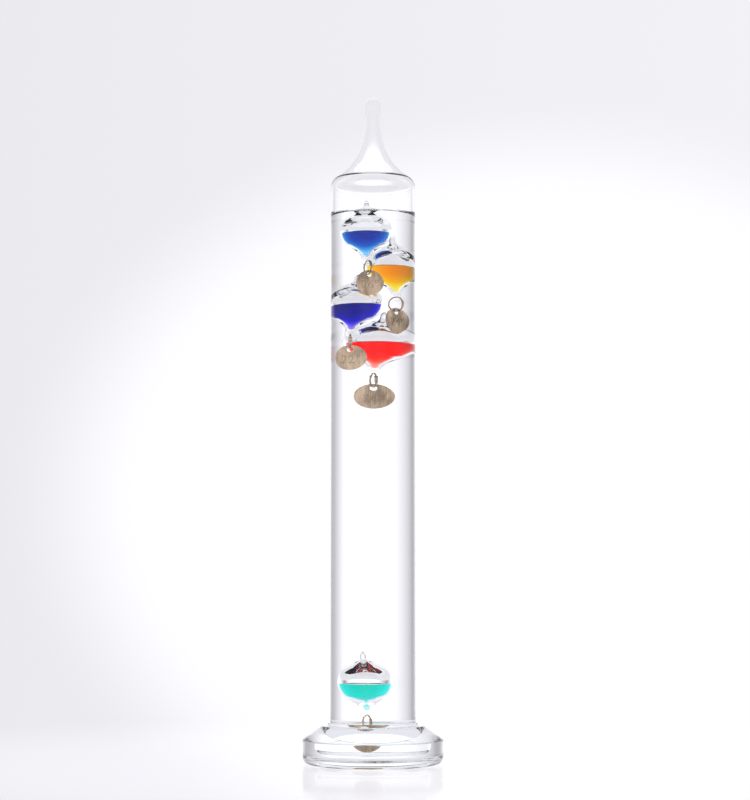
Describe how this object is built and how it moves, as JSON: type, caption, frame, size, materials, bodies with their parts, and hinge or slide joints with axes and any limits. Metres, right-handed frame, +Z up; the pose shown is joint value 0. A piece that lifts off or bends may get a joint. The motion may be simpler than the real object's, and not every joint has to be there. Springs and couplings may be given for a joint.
{
  "type": "galileo thermometer",
  "caption": "Galileo thermometer: sealed clear glass column on a round glass foot, with coloured glass floats carrying brass temperature tags in clear liquid.",
  "frame": {"origin": "centre of the foot underside, on the surface it stands on", "axes": "+Z up along the tube, -Y towards the viewer, +X to the viewer right"},
  "size_m": [0.0584, 0.0584, 0.28],
  "materials": {
    "vessel_glass": "clear polished glass",
    "base_glass": "clear polished glass",
    "clear_bond": "clear adhesive",
    "clear_liquid": "clear liquid",
    "bulb_glass": "clear blown glass",
    "ring_wire": "drawn wire",
    "tag_brass": "brushed, stamped with the temperature",
    "light_blue_dye": "clear blue water",
    "amber_dye": "clear amber water",
    "violet_dye": "clear violet water",
    "red_dye": "clear red water",
    "green_dye": "clear green water"
  },
  "bodies": {
    "vessel": {"glass_tube": "vessel_glass", "glass_base": "base_glass", "base_bond": "clear_bond", "fill_liquid": "clear_liquid"},
    "light_blue_float": {"light_blue_bulb": "bulb_glass", "light_blue_dye": "light_blue_dye"},
    "light_blue_ring": {"light_blue_ring": "ring_wire"},
    "light_blue_tag": {"light_blue_tag": "tag_brass"},
    "amber_float": {"amber_bulb": "bulb_glass", "amber_dye": "amber_dye"},
    "amber_ring": {"amber_ring": "ring_wire"},
    "amber_tag": {"amber_tag": "tag_brass"},
    "violet_float": {"violet_bulb": "bulb_glass", "violet_dye": "violet_dye"},
    "violet_ring": {"violet_ring": "ring_wire"},
    "violet_tag": {"violet_tag": "tag_brass"},
    "red_float": {"red_bulb": "bulb_glass", "red_dye": "red_dye"},
    "red_ring": {"red_ring": "ring_wire"},
    "red_tag": {"red_tag": "tag_brass"},
    "green_float": {"green_bulb": "bulb_glass", "green_dye": "green_dye"},
    "green_ring": {"green_ring": "ring_wire"},
    "green_tag": {"green_tag": "tag_brass"}
  },
  "joints": [
    {"name": "light_blue_float_rise", "type": "slide", "parent": "vessel", "child": "light_blue_float", "axis": [0, 0, 1], "range_m": [-0.106, 0], "deforming": ["fill_liquid"]},
    {"name": "light_blue_ring_swing", "type": "hinge", "parent": "light_blue_float", "child": "light_blue_ring", "pos_m": [-0.00227, -0.00528, 0.20817], "axis": [-0.3746, 0.9272, 0], "range_deg": [0, 15]},
    {"name": "light_blue_tag_swing", "type": "hinge", "parent": "light_blue_ring", "child": "light_blue_tag", "pos_m": [-0.00123, -0.00785, 0.20297], "axis": [-0.3746, 0.9272, 0], "range_deg": [-2, 20]},
    {"name": "amber_float_rise", "type": "slide", "parent": "vessel", "child": "amber_float", "axis": [0, 0, 1], "range_m": [-0.106, 0], "deforming": ["fill_liquid"]},
    {"name": "amber_ring_swing", "type": "hinge", "parent": "amber_float", "child": "amber_ring", "pos_m": [0.00697, -0.00019, 0.19382], "axis": [-0.848, 0.5299, 0], "range_deg": [-20, 20]},
    {"name": "amber_tag_swing", "type": "hinge", "parent": "amber_ring", "child": "amber_tag", "pos_m": [0.00697, -0.00019, 0.18792], "axis": [-0.848, 0.5299, 0], "range_deg": [-25, 60]},
    {"name": "violet_float_rise", "type": "slide", "parent": "vessel", "child": "violet_float", "axis": [0, 0, 1], "range_m": [-0.106, 0], "deforming": ["fill_liquid"]},
    {"name": "violet_ring_swing", "type": "hinge", "parent": "violet_float", "child": "violet_ring", "pos_m": [-0.00699, -0.00105, 0.17805], "axis": [0.0872, 0.9962, 0], "range_deg": [-4, 15]},
    {"name": "violet_tag_swing", "type": "hinge", "parent": "violet_ring", "child": "violet_tag", "pos_m": [-0.00699, -0.00105, 0.17215], "axis": [0.0872, 0.9962, 0], "range_deg": [-25, 15]},
    {"name": "red_float_rise", "type": "slide", "parent": "vessel", "child": "red_float", "axis": [0, 0, 1], "range_m": [-0.106, 0], "deforming": ["fill_liquid"]},
    {"name": "red_ring_swing", "type": "hinge", "parent": "red_float", "child": "red_ring", "pos_m": [0.00012, 0.00685, 0.16217], "axis": [-0.2588, 0.9659, 0], "range_deg": [-30, 80]},
    {"name": "red_tag_swing", "type": "hinge", "parent": "red_ring", "child": "red_tag", "pos_m": [0.00012, 0.00685, 0.15627], "axis": [-0.2588, 0.9659, 0], "range_deg": [-60, 50]},
    {"name": "green_float_rise", "type": "slide", "parent": "vessel", "child": "green_float", "axis": [0, 0, 1], "range_m": [0, 0.102], "deforming": ["fill_liquid"]},
    {"name": "green_ring_swing", "type": "hinge", "parent": "green_float", "child": "green_ring", "pos_m": [-0.00171, -0.001, 0.02032], "axis": [-0.3584, 0.9336, 0], "range_deg": [-80, 55]},
    {"name": "green_tag_swing", "type": "hinge", "parent": "green_ring", "child": "green_tag", "pos_m": [-0.00171, -0.001, 0.01442], "axis": [-0.3584, 0.9336, 0], "range_deg": [-50, 80]}
  ],
  "couplings": [
    {"joint": "violet_float_rise", "follows": "red_float_rise", "ratio": 1},
    {"joint": "amber_float_rise", "follows": "red_float_rise", "ratio": 1},
    {"joint": "light_blue_float_rise", "follows": "red_float_rise", "ratio": 1}
  ]
}
